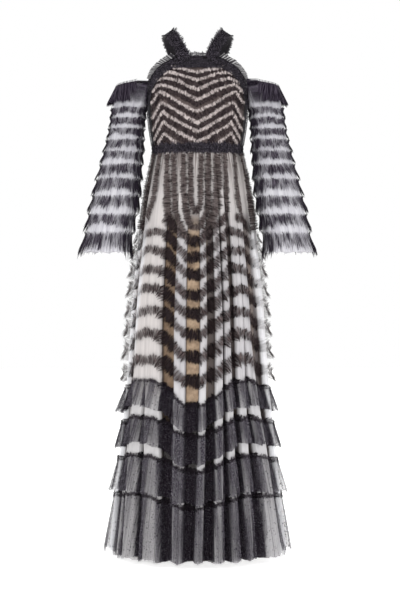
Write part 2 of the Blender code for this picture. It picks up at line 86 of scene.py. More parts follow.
# millimetres up from the mount: the waistband's top, the seam under it, and its lower edge
WAIST_TOP, WAIST_SEAM, WAIST_LOW = -328, -341, -350


def read(table, z, column, rounding=ROUNDING):
    """A column of a table at heights z, with the table's corners rounded off."""
    heights, values = table[::-1, 0], table[::-1, column]
    steps = [np.interp(z + d, heights, values) for d in (-rounding, 0, rounding)]
    return sum(steps) / 3


def along_table(table, place):
    """Every column of a table, read at places between its rows."""
    table = np.asarray(table, float)
    return [np.interp(place, np.arange(len(table)), column) for column in table.T]


def rounded(values, reach):
    """A run of values with its corners rounded, each the mean of its neighbours up to reach away."""
    return np.convolve(np.pad(values, reach, "edge"), np.ones(2 * reach + 1) / (2 * reach + 1), "valid")

# %% Points on the form
def alike(*values):
    """Numbers and arrays, brought to one shape."""
    return np.broadcast_arrays(*(np.asarray(value, float) for value in values))


def unit(vectors):
    return vectors / np.linalg.norm(vectors, axis=-1, keepdims=True)


def turned(degrees, start=0):
    """The angle between two directions, from 0 to 180 degrees."""
    return np.abs((degrees - start + 180) % 360 - 180)


def on_form(form, degrees, z, out):
    """Points round a form's oval sections, moved out square to the section."""
    half, front, back = (read(form, z, c) for c in (1, 2, 3))
    angle = np.radians(degrees)
    depth = np.where(np.cos(angle) > 0, front, back)
    x, y = np.sin(angle), -np.cos(angle)
    square = unit(np.stack([x / half, y / depth], -1))
    return np.stack([half * x + square[..., 0] * out, depth * y + square[..., 1] * out, z + 0 * x], -1)


def on_bodice(degrees, z, out):
    return on_form(BODICE_FORM, degrees, z, out)


def smooth(low, high, value):
    """0 at low, 1 at high, with a soft start and end."""
    share = np.clip((value - low) / (high - low), 0, 1)
    return share * share * (3 - 2 * share)


print("bodice front at z -215:", np.round(on_bodice(np.array([0.0]), np.array([-215.0]), 0)[0]))

# %% [markdown]
# ## Folds of the skirt
# The tulle hangs in soft box-shaped flutes. Each has a flat crest, given by its angle and half
# width at mid height and at the hem, and steep sides that drop into a recess. They are uneven
# in width, depth and spacing, and they go all round, because the gown is seen from all sides.

# %% Table of flutes: angle, half width and rise at mid height, then the same at the hem
FLUTES = np.array([
    (-82, 4.5, 0.8, -83, 5.0, 1.0), (-72, 1.0, 0.0, -66, 3.0, 0.4), (-57, 7.5, 0.9, -50, 5.0, 1.1),
    (-40, 7.0, 1.1, -31, 6.0, 0.9), (-15, 4.4, 1.0, -13, 3.0, 1.0), (5.4, 2.4, 0.9, 0.5, 2.2, 0.9),
    (18.5, 2.4, 1.1, 13.6, 2.6, 0.9), (26, 2.2, 1.0, 25, 2.2, 1.0), (38, 3.4, 1.0, 36, 2.2, 0.8),
    (46.5, 3.4, 0.9, 60, 9.0, 1.0), (77, 6.0, 0.8, 84, 4.0, 1.0),
    (99, 5.0, 0.8, 99, 5.5, 1.0), (120, 7.0, 1.0, 118, 6.0, 1.0), (141, 4.0, 0.5, 139, 7.0, 0.9),
    (161, 7.5, 1.1, 160, 5.0, 1.0), (181, 4.0, 0.5, 181, 6.5, 1.0), (203, 8.0, 1.0, 202, 6.0, 0.9),
    (222, 4.0, 0.7, 222, 6.5, 1.1), (241, 7.0, 1.0, 242, 5.0, 1.0), (260, 5.0, 0.8, 260, 6.0, 1.0)])
FOLD_EDGE = 1.5
TOUCHING_AT = -48
MID_HEIGHT, HEM_HEIGHT = -880, -1480

# %% How the folds stand in and out
def uneven(along, spacing, seed):
    """A smooth random curve from -1 to 1, with a new value every spacing."""
    values = np.random.default_rng(seed).uniform(-1, 1, 4096)
    place = np.asarray(along, float) / spacing + 900
    low = np.floor(place).astype(int)
    share = smooth(0, 1, place - low)
    return values[low % 4096] * (1 - share) + values[(low + 1) % 4096] * share


def fold_rise(degrees, z):
    """How far the cloth stands out (1) or lies back in a recess (-1)."""
    share = np.clip((MID_HEIGHT - z) / (MID_HEIGHT - HEM_HEIGHT), 0, 1)[..., None]
    angle, half, rise = (FLUTES[:, c] * (1 - share) + FLUTES[:, c + 3] * share for c in (0, 1, 2))
    crest = smooth(half + FOLD_EDGE, half, turned(degrees[..., None], angle))
    # two flutes on the left lie so close that above the tiers they read as one
    touching = smooth(6, 4, turned(degrees, TOUCHING_AT)) * smooth(-1040, -1000, z)
    return np.maximum((-1 + (rise + 1) * crest).max(-1), -1 + 1.95 * touching)


def on_skirt(degrees, z, out):
    degrees, z = alike(degrees, z)
    fine = uneven(degrees % 360, 2.6, 5) * np.interp(-z, [341, 700, 1500], [0.2, 0.8, 2.2])
    rise = fold_rise(degrees, z) * read(SKIRT_FORM, z, 4) + fine
    return on_form(SKIRT_FORM, degrees, z, out + rise)


def depth_of_fold(degrees, z):
    """0 on a crest, 1 deep in a recess; near the waist the folds are too shallow to count."""
    return np.clip((0.5 - fold_rise(degrees, z)) / 1.4, 0, 1) * smooth(-480, -600, z)


def off_the_sides(degrees, z, out):
    """The skirt's form, with what is sewn on it standing further off at the gown's two sides."""
    side = smooth(0.90, 0.985, np.abs(np.sin(np.radians(degrees)))) * smooth(-560, -640, z)
    return on_skirt(degrees, z, out * (1 + 1.5 * side))


print("flutes all round:", len(FLUTES))

# %% [markdown]
# ## Cloth from a grid
# bmesh makes a flat grid, and its points are then moved on to the form, which keeps the weave
# running along the cloth. The UV map keeps where each point lies on the cloth: along it, in
# gathers, and across it, from 0 at one edge to 1 at the other. A deep attribute keeps how far
# back in a fold the point lies, so that a material can let the lining show there, and paint
# shade there.

# %% Lay a grid of cloth on the form
def lay(columns, rows, place, closed=False):
    """place(s, t) takes shares along and across and gives points in mm, along, across and depth."""
    grid = bmesh.new()
    bmesh.ops.create_grid(grid, x_segments=columns, y_segments=rows, size=0.5)
    flat = np.array([v.co[:2] for v in grid.verts])
    s, t = flat[:, 0] + 0.5, 0.5 - flat[:, 1]
    points, along, across, deep = place(s, t)
    grid.verts.index_update()
    along, across, deep = (np.broadcast_to(a, s.shape) for a in (along, across, deep))
    weave = grid.loops.layers.uv.new("weave")
    fold = grid.verts.layers.float.new("deep")
    for vert, point, d in zip(grid.verts, points * MM, deep):
        vert.co = point
        vert[fold] = d
    for face in grid.faces:
        for loop in face.loops:
            loop[weave].uv = (along[loop.vert.index], across[loop.vert.index])
    if closed:
        bmesh.ops.remove_doubles(grid, verts=grid.verts, dist=1e-5)
    return grid

# %% Sew grids into one piece
def show(name, data):
    """A new object in the scene, from its mesh, lamp or camera."""
    thing = bpy.data.objects.new(name, data)
    scene.collection.objects.link(thing)
    return thing


def sew(name, grids, material, height, nodes=(), thick=0.0):
    """One piece from its grids, fitted to the gown; height is not used. nodes are the solids that it
    replaces."""
    whole = bmesh.new()
    for grid in grids:
        part = bpy.data.meshes.new("part")
        grid.to_mesh(part)
        grid.free()
        whole.from_mesh(part)
        bpy.data.meshes.remove(part)
    for face in whole.faces:
        face.smooth = True
    mesh = bpy.data.meshes.new(name)
    whole.to_mesh(mesh)
    whole.free()
    mesh.materials.append(material)
    piece = show(name, mesh)
    if thick:
        wall = piece.modifiers.new("cloth", "SOLIDIFY")
        wall.thickness = thick
    if nodes:
        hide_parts(*nodes)
    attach(piece, "root")
    return piece


# %% [markdown]
# ## Gathering a strip
# A maker runs a thread along the middle of a strip of net and pulls it short, so the strip
# ripples and both its edges stand up. gathered() does the same: it follows a line on the form,
# ripples the strip about once every few millimetres, unevenly, and lifts the edges.

# %% One gathered strip along a line on a form
COLUMN_STEP = 1.35  # millimetres along a strip from one column of points to the next
USUAL_RADIUS = 150  # millimetres from a form's middle to its surface, unless a call says otherwise


def stretches(line, keep):
    """The unbroken stretches of a line where keep is true."""
    ends = np.flatnonzero(np.diff([0, *keep.astype(int), 0]))
    return [line[start:stop] for start, stop in zip(ends[::2], ends[1::2]) if stop - start > 12]


def resample(line, surface, step):
    """The line's angles and heights at even steps of real length, and the length so far."""
    fine = np.stack(along_table(line, np.linspace(0, len(line) - 1, 60 * len(line))), -1)
    points = surface(fine[:, 0], fine[:, 1], 0.0)
    so_far = np.concatenate([[0], np.cumsum(np.linalg.norm(np.diff(points, axis=0), axis=1))])
    count = max(int(so_far[-1] / step), 4)
    even = np.linspace(0, so_far[-1], count + 1)
    return np.stack([np.interp(even, so_far, fine[:, c]) for c in (0, 1)], -1), even


def gathered(surface, line, up, down, out, wave, lift, period, seed, rows=5, ragged=0.14, depth=None,
             radius=USUAL_RADIUS):
    """A strip along a line on a surface. up and down are how far it reaches to each side of the line,
    out how far it stands off, wave how deep it ripples, and lift how far both its edges rise. period
    is the length of a gather, ragged how uneven the edges are, depth what tells how deep in a fold a
    point lies, and radius how far the surface is from its middle."""
    spots, even = resample(np.asarray(line, float), surface, COLUMN_STEP)
    columns = len(even) - 1
    turns = even / period + 0.55 * uneven(even, 2.3 * period, seed)
    swing = 0.75 + 0.45 * uneven(even, 1.7 * period, seed + 1)
    fuller = 1 + 0.36 * (depth(spots[:, 0], spots[:, 1]) if depth else 0)
    edges = [fuller + ragged * (uneven(even, 1.1 * period, seed + n)
                                + 0.8 * uneven(even, 0.45 * period, seed + n + 2)) for n in (2, 3)]
    run = np.gradient(spots[:, 0]) * np.pi / 180 * radius
    fall = np.gradient(spots[:, 1])
    size = np.maximum(np.hypot(run, fall), 1e-6)
    side, down_by = fall / size, -run / size

    def place(s, t):
        i = np.rint(s * columns).astype(int)
        across = -up + (up + down) * t
        reach = np.where(across < 0, up, down)
        share = np.abs(across) / np.maximum(reach, 1e-6)
        across = across * np.where(across < 0, edges[0][i], edges[1][i])
        swirl = 0.22 * period * share * np.sin(2 * np.pi * turns[i] + 1.3 + 0.6 * np.sign(across))
        slide = across * side[i] + swirl * run[i] / size[i]
        degrees = spots[i, 0] + np.degrees(slide / radius)
        z = spots[i, 1] + across * down_by[i] + swirl * fall[i] / size[i]
        ripple = np.sin(2 * np.pi * turns[i] + 0.5 * np.sign(across) * share)
        rise = np.where(across < 0, lift[0], lift[1]) * share ** 1.2
        stand = out + rise + wave * swing[i] * ripple * (0.25 + 0.75 * share)
        deep = depth(degrees, z) if depth else 0.0
        return surface(degrees, z, stand), turns[i] + 53 * (seed % 17), t, deep

    return lay(columns, rows, place)


print("gathering ready")

# %% [markdown]
# ## Shader maths as plain expressions
# A material here is arithmetic on where a point lies on its cloth. The class wraps a socket so
# that such arithmetic is written as Python, and one method makes every other node.

# %% A small language for shaders
class Value:
    def __init__(self, shader, socket):
        self.shader, self.socket = shader, socket

    def maths(self, operation, *others, clamped=False):
        settings = {"operation": operation, "use_clamp": clamped}
        return self.shader.add("ShaderNodeMath", settings, [self, *others])

    def __add__(self, other):
        return self.maths("ADD", other)

    def __sub__(self, other):
        return self.maths("SUBTRACT", other)

    def __rsub__(self, other):
        return self.shader.add("ShaderNodeMath", {"operation": "SUBTRACT"}, [other, self])

    def __mul__(self, other):
        return self.maths("MULTIPLY", other)

    def __truediv__(self, other):
        return self.maths("DIVIDE", other)

    __radd__, __rmul__ = __add__, __mul__

    def sharpen(self, low, high):
        """0 below low, 1 above high."""
        return (self - low).maths("MULTIPLY", 1 / (high - low), clamped=True)

    def clamp(self):
        return self.maths("MULTIPLY", 1.0, clamped=True)

# %% Nodes, and where a point lies
class Shader:
    def __init__(self, name):
        self.material = bpy.data.materials.new(name)
        self.material.use_nodes = True
        self.tree = self.material.node_tree
        self.surface = self.tree.nodes["Principled BSDF"]

    def add(self, kind, settings, inputs, output=0):
        """Any node: its type, its settings, and the values or links of its sockets."""
        node = self.tree.nodes.new(kind)
        for key, value in settings.items():
            setattr(node, key, value)
        pairs = inputs.items() if isinstance(inputs, dict) else enumerate(inputs)
        for key, value in pairs:
            if isinstance(value, Value):
                self.tree.links.new(value.socket, node.inputs[key])
            else:
                node.inputs[key].default_value = value
        return Value(self, node.outputs[output])

    def cloth_place(self):
        weave = self.add("ShaderNodeUVMap", {"uv_map": "weave"}, [])
        parts = self.add("ShaderNodeSeparateXYZ", {}, [weave])
        return parts, Value(self, parts.socket.node.outputs[1])

    def deep(self):
        return self.add("ShaderNodeAttribute", {"attribute_name": "deep"}, [], output="Fac")

    def place_on_gown(self):
        """Where the point is, and how far it is to the right of the gown's middle, in metres."""
        place = self.add("ShaderNodeTexCoord", {}, [], output="Object")
        return place, self.add("ShaderNodeSeparateXYZ", {}, [place])

    def far_out(self):
        """0 at the skirt's front and back, 1 at its sides; the border lies further out lower down."""
        right = self.place_on_gown()[1]
        height = Value(self, right.socket.node.outputs[2])
        return (right.maths("ABSOLUTE") + height * 0.1).sharpen(0.083, 0.092)

    def to_the_right(self, start, end):
        """0 to the left of start, 1 to the right of end, in metres from the gown's middle."""
        return self.place_on_gown()[1].sharpen(start, end)

    def noise_at(self, place, scale, detail):
        return self.add("ShaderNodeTexNoise", {"noise_dimensions": "3D"},
                        {"Vector": place, "Scale": scale, "Detail": detail, "Roughness": 0.6})

    def noise(self, x, y, z=0.0, detail=2.0):
        return self.noise_at(self.add("ShaderNodeCombineXYZ", {}, [x, y, z]), 1.0, detail)

    def on_object(self, scale, detail=2.0):
        return self.noise_at(self.add("ShaderNodeTexCoord", {}, [], output="Object"), scale, detail)

    def blend(self, share, start, end):
        """A colour between two colours, each a shader's or three plain numbers."""
        start, end = (side if isinstance(side, Value) else (*side, 1.0) for side in (start, end))
        return self.add("ShaderNodeMix", {"data_type": "RGBA"}, {0: share, 6: start, 7: end}, output=2)

    def finish(self, roughness, sheen=0.0, specular=0.2, **varying):
        self.surface.inputs["Roughness"].default_value = roughness
        self.surface.inputs["Sheen Weight"].default_value = sheen
        self.surface.inputs["Specular IOR Level"].default_value = specular
        for socket, value in varying.items():
            self.tree.links.new(value.socket, self.surface.inputs[socket.replace("_", " ")])
        return self.material


print("shader language ready")

# %% [markdown]
# ## Gathered black tulle
# Net is mostly air: one layer greys what is behind it, and the gathers stack many layers. So
# the cloth's Alpha follows the gathers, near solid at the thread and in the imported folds, thin
# between them, and broken into threads at the cut edges, which on this gown are left raw.

# %% Black ruffle tulle
def black_ruffle(name, thin, ink, light, fray=0.5, sides=0.0, fine=1.0, thread=0.5, tangle=0.0, between=0.0):
    """Black net, gathered. thin is the Alpha between gathers, ink the net's colour, light the colour of a
    painted highlight on its threads, fray how far the edges break up, sides how far the skirt's sides thin
    out, fine how fine the gathers are, thread how far across the strip its gathering thread lies, tangle
    how unevenly the gathers bunch along it, and between how much of the painted highlight lies between
    the gathers, in place of on the threads. Where the deep attribute is high, painted shade holds the
    highlight back."""
    shader = Shader(name)
    along, across = shader.cloth_place()
    deep = shader.deep().sharpen(0.25, 0.65)
    middle = (across / thread).maths("MINIMUM", (1 - across) / (1 - thread))
    ticks = shader.noise(along * (1.9 * fine), across * 1.1).sharpen(0.42, 0.60)
    threads = shader.noise(along * (4.2 * fine), across * 1.4, 7.0)
    knots = shader.noise(along * 0.35, across * 0.8, 4.0).sharpen(0.40, 0.65)
    packed = ticks * 0.8 + middle * 0.35 + knots * (0.45 + tangle) + deep * 0.45
    packed = (packed - 0.2 - tangle * 0.55).clamp()
    edge = (middle * 3.0 + (ticks + threads - 1.1) * fray * 1.8).clamp()
    alpha = (thin + packed * (1 - thin)) * edge
    if sides:
        alpha = alpha * (1 - shader.far_out() * sides)
    # painted highlight on the threads; painted shade takes it out where deep is high, and between moves part
    # of it between the gathers
    painted_highlight = threads.sharpen(0.46, 0.76) * (1 - deep * 0.85)
    painted_highlight = painted_highlight * (1 - between) + (1 - ticks) * (0.8 * between)
    base = shader.blend(painted_highlight, ink, light)
    return shader.finish(0.9, 0.02, 0.08, Base_Color=base, Alpha=alpha.clamp())

# %% The black tulles
# the second colour of each black tulle is its painted highlight
bodice_black = black_ruffle("bodice black tulle", 0.62, (0.006, 0.004, 0.005), (0.085, 0.062, 0.064),
                            fine=1.1, between=0.55)
upright_black = black_ruffle("upright black tulle", 0.64, (0.008, 0.005, 0.006), (0.170, 0.135, 0.128),
                             fine=1.15, between=0.62)
skirt_black = black_ruffle("skirt black tulle", 0.34, (0.014, 0.009, 0.010), (0.235, 0.185, 0.180),
                           fray=0.55, sides=0.66, fine=1.5)
trim_black = black_ruffle("trim black tulle", 0.72, (0.006, 0.005, 0.008), (0.110, 0.096, 0.116), fray=0.7)
# the Alpha between gathers of each sleeve row, from the shoulder down
SLEEVE_COVER = [0.46, 0.46, 0.44, 0.40, 0.38, 0.36, 0.32, 0.30, 0.28, 0.22]
sleeve_blacks = [black_ruffle(f"sleeve black tulle {number}", cover, (0.011, 0.008, 0.014),
                              (0.175, 0.155, 0.190), fray=0.55, fine=1.5, thread=0.36, tangle=0.65)
                 for number, cover in enumerate(SLEEVE_COVER, start=1)]
print("black tulles ready:", 4 + len(sleeve_blacks))

# %% [markdown]
# ## Pale and ivory tulle
# The pale cloths are the same net in other colours. The ivory skirt is closer woven on the
# flutes that stand forward. In the recesses only one layer lies over the lining, so there the
# cloth is more sheer, and warmer; painted shade darkens the lining seen there, the walls of the
# flutes and the gathers at the top, and painted light whitens the skirt's sides.

# %% Ivory crests of the bodice
def pale_ruffle(name, light, shade):
    shader = Shader(name)
    along, across = shader.cloth_place()
    middle = 1 - 2 * (across - 0.5).maths("ABSOLUTE")
    ticks = shader.noise(along * 2.6, across * 0.9).sharpen(0.36, 0.56)
    threads = shader.noise(along * 6.0, across * 1.4, 7.0)
    edge = (middle * 2.5 + (ticks + threads - 1.4) * 1.4).clamp()
    base = shader.blend((ticks * 0.7 + threads * 0.7 - 0.25).clamp(), shade, light)
    return shader.finish(0.8, 0.1, Base_Color=base, Alpha=((0.62 + ticks * 0.38) * edge).clamp())

# %% Ivory skirt tulle over the lining
def skirt_tulle():
    shader = Shader("ivory skirt tulle")
    along, across = shader.cloth_place()
    deep = shader.deep()
    streaks = shader.noise(along * 70.0, across * 2.0).sharpen(0.35, 0.70)
    cloudy = shader.on_object(9.0).sharpen(0.3, 0.7)
    low = across.sharpen(0.61, 0.66)
    warm = shader.blend(streaks, (0.55, 0.515, 0.50), (0.45, 0.42, 0.41))
    cool = shader.blend(streaks, (0.50, 0.485, 0.50), (0.36, 0.35, 0.365))
    grey = shader.to_the_right(-0.100, -0.085) * across.sharpen(0.12, 0.26)
    crest = shader.blend((grey * 0.75 + cloudy * 0.25).clamp(), warm, cool)
    crest = shader.blend(across.sharpen(0.55, 0.62) * 0.8, crest, (0.53, 0.52, 0.53))
    # painted light: the skirt's sides are whitened below the top, and the recess colour and the painted
    # shade of the flute walls are held back there
    side = shader.far_out() * across.sharpen(0.16, 0.24)
    crest = shader.blend(side, crest, (0.92, 0.92, 0.95))
    # painted shade: dark streaks among the gathers along the top of the skirt, under the waistband
    gathers = shader.noise(along * 130.0, across * 14.0).sharpen(0.36, 0.56)
    crest = shader.blend((1 - across.sharpen(0.01, 0.11)) * gathers * 0.9, crest, (0.09, 0.065, 0.06))
    # the lining seen in the recesses, darkened by painted shade in a mottle and more so left of x -50 mm;
    # right of x 30 mm it is dark grey
    recess_shadow = shader.on_object(55.0, 3.0).sharpen(0.34, 0.72)
    skin = shader.blend(recess_shadow * 0.80, (0.66, 0.49, 0.345), (0.15, 0.095, 0.060))
    skin = shader.blend((1 - shader.to_the_right(-0.062, -0.050)) * 0.55, skin, (0.15, 0.095, 0.060))
    skin = shader.blend(shader.to_the_right(0.018, 0.030), skin, (0.16, 0.14, 0.14))
    recess = shader.blend(across.sharpen(0.14, 0.22), crest, skin)
    # painted shade: near-black in the recesses low on the skirt, behind the tiers
    recess = shader.blend(low, recess, (0.020, 0.016, 0.015))
    base = shader.blend(deep.sharpen(0.30, 0.60) * (1 - side * 0.8), crest, recess)
    # painted shade: dark lines on the walls of the flutes, where they drop into a recess
    fold_wall_shade = deep.sharpen(0.2, 0.4) * (1 - deep.sharpen(0.6, 0.9)) * across.sharpen(0.14, 0.20)
    base = shader.blend(fold_wall_shade * (1 - side) * 0.85, base, (0.035, 0.024, 0.022))
    alpha = 0.97 - deep * 0.20 - streaks * 0.05 - side * 0.30
    return shader.finish(0.85, 0.1, Base_Color=base, Alpha=alpha.clamp())

# %% Pale sleeve tulle
def sleeve_tulle():
    shader = Shader("pale sleeve tulle")
    along, across = shader.cloth_place()
    streaks = shader.noise(along * 170.0, across * 4.0).sharpen(0.38, 0.66)
    base = shader.blend(streaks, (0.74, 0.73, 0.77), (0.38, 0.37, 0.41))
    return shader.finish(0.85, 0.1, Base_Color=base, Alpha=(0.62 + streaks * 0.26).clamp())

# %% Striped pleats
def striped_frill():
    shader = Shader("pale and black pleats")
    along, across = shader.cloth_place()
    wobble = shader.noise(along * 0.8, across * 1.5)
    bars = ((along + wobble * 0.7) * (2 * math.pi)).maths("SINE") - 0.3 + across * 0.9
    bars = (bars + wobble * 0.6 - 0.2).sharpen(-0.15, 0.30)
    fine = shader.noise(along * 6.0, across * 2.0, 3.0)
    pale = shader.blend(fine.sharpen(0.35, 0.65), (0.46, 0.45, 0.45), (0.19, 0.185, 0.19))
    base = shader.blend(bars, pale, (0.016, 0.014, 0.018))
    edge = (across - fine * 0.10).sharpen(-0.03, 0.03)
    return shader.finish(0.8, 0.1, Base_Color=base, Alpha=(edge * (0.90 + bars * 0.10)).clamp())

# %% Plain net and satin
def plain_net(name, light, shade, scale, roughness=0.7):
    shader = Shader(name)
    cloudy = shader.on_object(scale).sharpen(0.3, 0.7)
    weave = shader.on_object(900.0, 0.0)
    bump = shader.add("ShaderNodeBump", {}, {"Strength": 0.25, "Distance": 0.001, "Height": weave})
    base = shader.blend(cloudy, light, shade)
    return shader.finish(roughness, 0.2, Base_Color=base, Normal=bump)

# %% The pale tulles
bodice_ivory = pale_ruffle("bodice ivory crests", (0.52, 0.455, 0.44), (0.060, 0.046, 0.046))
ivory_skirt, pale_sleeve, striped = skirt_tulle(), sleeve_tulle(), striped_frill()
bodice_net = plain_net("bodice net", (0.050, 0.036, 0.034), (0.12, 0.09, 0.085), 60.0)
black_net = plain_net("black net", (0.008, 0.006, 0.009), (0.018, 0.015, 0.019), 90.0)
nude = plain_net("nude lining satin", (0.58, 0.41, 0.26), (0.52, 0.36, 0.22), 12.0, 0.5)
print("pale tulles ready")

# %% [markdown]
# ## Dotted black tulle of the tiers
# The four lower tiers are black tulle with small dots. On the forward flutes one layer lies
# over ivory and reads as speckled grey; in the recesses many layers lie together and read as
# black, and painted shade takes the lighter specks out there. The deep attribute carries that,
# and the pleats add fine dark lines. Painted glints are strewn over the net.

# %% Tier tulle
def tier_tulle(number, layers):
    """layers is the Alpha of the cloth where it lies flat on a crest; the middle tiers are fullest."""
    shader = Shader(f"dotted tier tulle {number}")
    along, across = shader.cloth_place()
    deep = shader.deep()
    folds = shader.noise(along * 0.28, across * 0.25, 2.0, 1.0).sharpen(0.45, 0.55)
    pleats = shader.noise(along * 1.15, across * 0.45).sharpen(0.36, 0.66)
    lines = shader.noise(along * 6.0, across * 0.7, 5.0).sharpen(0.44, 0.66)
    speck = shader.on_object(420.0, 1.0).sharpen(0.35, 0.65)
    sparkle = shader.on_object(520.0, 0.0).sharpen(0.60, 0.66)
    place, right = shader.place_on_gown()
    cells = shader.add("ShaderNodeTexVoronoi", {"feature": "F1"},
                       {"Vector": place, "Scale": 105.0, "Randomness": 0.9})
    dots = 1 - cells.sharpen(0.16, 0.26)
    side = right.maths("ABSOLUTE").sharpen(0.175, 0.24)
    cover = layers + deep.sharpen(0.22, 0.50) * 0.95 + folds * (0.5 - across * 0.2)
    cover = cover + pleats * 0.24 + lines * 0.34 + speck * 0.24
    cover = cover * (1 - side * 0.62) + dots * 0.42
    fringe = shader.noise(along * 5.0, across * 3.0, 9.0)
    edge = (1 - across - fringe * 0.05).sharpen(0.0, 0.03)
    # lighter specks, which painted shade takes out in the recesses; then painted glints, fewer in the
    # recesses
    base = shader.blend(speck * (1 - deep), (0.008, 0.005, 0.009), (0.050, 0.044, 0.056))
    base = shader.blend(sparkle * (1 - deep * 0.6) * 0.55, base, (0.34, 0.33, 0.36))
    return shader.finish(0.9, 0.0, 0.05, Base_Color=base, Alpha=(cover * edge).clamp())


# the Alpha of each tier where it lies flat, from the top down
TIER_LAYERS = [0.04, 0.25, 0.14, 0.02]
tier_blacks = [tier_tulle(number, layers) for number, layers in enumerate(TIER_LAYERS, start=1)]
# the second colour is the painted highlight on its threads
head_black = black_ruffle("tier head ruffle", 0.34, (0.010, 0.007, 0.010), (0.070, 0.060, 0.072),
                          fray=0.7, sides=0.5, fine=1.3)
print("tier tulle ready")

# %% [markdown]
# ## Bodice
# The panel is net cut to the armholes. Across it run zigzag rows: each is a dark ruffle with an
# ivory crest standing above it. The waistband cuts off the lowest rows, so only their peaks
# show. The same pattern runs across the back.

# %% Where the yoke lies: angle and height of its outer edge, then of its inner edge
YOKE = np.array([
    (0.0, -75, 0.0, -112), (13.0, -75, 13.0, -112), (25.5, -75, 27.0, -112), (33.5, -84, 31.0, -117),
    (41.0, -94, 36.0, -124), (47.0, -103, 40.0, -130), (52.0, -112, 43.0, -136), (60.0, -133, 50.0, -151),
    (67.5, -155, 57.0, -168), (76.5, -190, 64.0, -195), (89.9, -216, 69.0, -216), (89.9, -250, 69.0, -250),
    (89.9, -290, 69.0, -290), (89.9, -325, 69.0, -325)], float)
# an ivory crest's height at 0, 28, 57 and 85 mm from the middle, its peak's place and height, and
# its height at the side seam, 123 mm out
CRESTS = [
    (-126, -119, -112, -108, 100, -106, -122), (-151, -141, -130, -126, 100, -127, -140),
    (-178, -166, -150, -142, 92, -141, -152), (-208, -193, -178, -166, 108, -161, -176),
    (-243, -229, -210, -191, 107, -180, -210), (-270, -258, -238, -221, 100, -210, -252),
    (-299, -284, -266, -249, 97, -238, -286), (-323, -313, -295, -278, 93, -266, -318),
    (-349, -340, -326, -308, 91, -297, -344)]

# %% The runs of a zigzag row
def facing(side):
    """The bodice's front as it is, or its back seen as if it were the front."""
    turn = 0 if side == "front" else 180
    return lambda degrees, z, out: on_bodice(degrees + turn, z, out)


def zigzag(crest, shift, seed):
    """The runs of one zigzag row that lie inside the yoke and above the waistband."""
    x = np.linspace(-131, 131, 525)
    z = np.interp(np.abs(x), [0, 28, 57, 85, crest[4], 123], [*crest[:4], *crest[5:]]) + shift
    z = rounded(z, 8) + 1.6 * uneven(x, 26, seed)
    degrees = np.degrees(np.arcsin(np.clip(x / read(BODICE_FORM, z, 1), -1, 1)))
    inner = np.interp(-z, -YOKE[2:, 3], YOKE[2:, 2])
    shown = (z > WAIST_TOP + 2) & (z < -108) & (np.abs(degrees) < inner + 2.5)
    return stretches(np.stack([degrees, z], -1), shown)

# %% Bodice
def make_bodice(side):
    surface = facing(side)
    top = lambda degrees: np.interp(np.abs(degrees), YOKE[:11, 0], YOKE[:11, 1])

    def panel(s, t):
        degrees = -90 + 180 * s
        z = top(degrees) * (1 - t) + WAIST_SEAM * t
        return surface(degrees, z, 0.0), s * 0.4, t, 0.0

    base = sew(f"bodice_{side}_panel", [lay(60, 40, panel)], bodice_net, 0.25, [f"bodice_{side}"],
               thick=0.0008)
    dark, light = [], []
    for number, crest in enumerate(CRESTS):
        seed = 40 * number + (7 if side == "back" else 0)
        for run in zigzag(crest, -12.5, seed):
            dark.append(gathered(surface, run, up=10.5, down=9.5, out=2.0, wave=1.9, lift=(2.0, 3.0),
                                 period=6.2, seed=seed, ragged=0.25))
        for run in zigzag(crest, 0.5, seed + 1):
            light.append(gathered(surface, run, up=6.0, down=6.2, out=5.2, wave=1.5, lift=(0.4, -0.4),
                                  period=5.0, seed=seed + 9, rows=4, ragged=0.4))
    rows = sew(f"bodice_{side}_dark_rows", dark, bodice_black, 0.020)
    sew(f"bodice_{side}_crests", light, bodice_ivory, 0.010)


for side in SIDES:
    make_bodice(side)

# %% [markdown]
# ## Yoke, neck frill and armhole frills
# A black band of gathered net edges the bodice: wide across the neckline, narrow round the
# armholes, then down both sides to the waist. Four rows of ruffle are sewn side by side along
# it. A striped pleated frill stands outside it where the armhole is bare.

# %% Yoke
def yoke_line(share):
    """A line round the yoke, from its outer edge at share 0 to its inner edge at share 1."""
    half = YOKE[:, :2] * (1 - share) + YOKE[:, 2:] * share
    left = half[:0:-1] * (-1, 1)
    return np.concatenate([left, half])


def make_yoke(side):
    surface = facing(side)

    def band(s, t):
        edge, inner = yoke_line(0.0), yoke_line(1.0)
        place = s * (len(edge) - 1)
        (angle, z), (inner_angle, inner_z) = (along_table(line, place) for line in (edge, inner))
        angle, z = angle * (1 - t) + inner_angle * t, z * (1 - t) + inner_z * t
        return surface(angle, z, 3.2 + 2.0 * t), s, t, 0.0

    base = sew(f"yoke_{side}_band", [lay(156, 4, band)], black_net, 0.03,
               [f"yoke_{side}"])
    rows = [gathered(surface, yoke_line(share), up=4.6, down=5.2, out=5.6, wave=1.3, lift=(1.6, 2.0),
                     period=5.6, seed=300 + 11 * number + len(side), rows=4)
            for number, share in enumerate((0.06, 0.34, 0.62, 0.90))]
    sew(f"yoke_{side}_ruffles", rows, trim_black, 0.010)


for side in SIDES:
    make_yoke(side)

# %% Neck frill
neck = np.array([(-9.5, -70), (0, -70), (9.5, -70)], float)
neck_rows = [gathered(facing("front"), neck, up=6.5, down=6.5, out=2.6, wave=1.6, lift=(1.5, 3.0),
                      period=5.0, seed=5, ragged=0.5)]
sew("neck_frill_net", neck_rows, trim_black, 0.011, ["neck_frill"])

# %% Armhole frills: angle and height at the seam, then at the free edge
ARMHOLE = np.array([
    (26.1, -75, 31.0, -65), (33.8, -84, 39.5, -76), (41.3, -94, 47.5, -87), (47.3, -103, 54.5, -99),
    (52.5, -111, 60.5, -109), (56.8, -122, 65.5, -119), (60.5, -131, 68.5, -129),
    (63.1, -139, 70.5, -137)], float)
PLEATS = 17.5


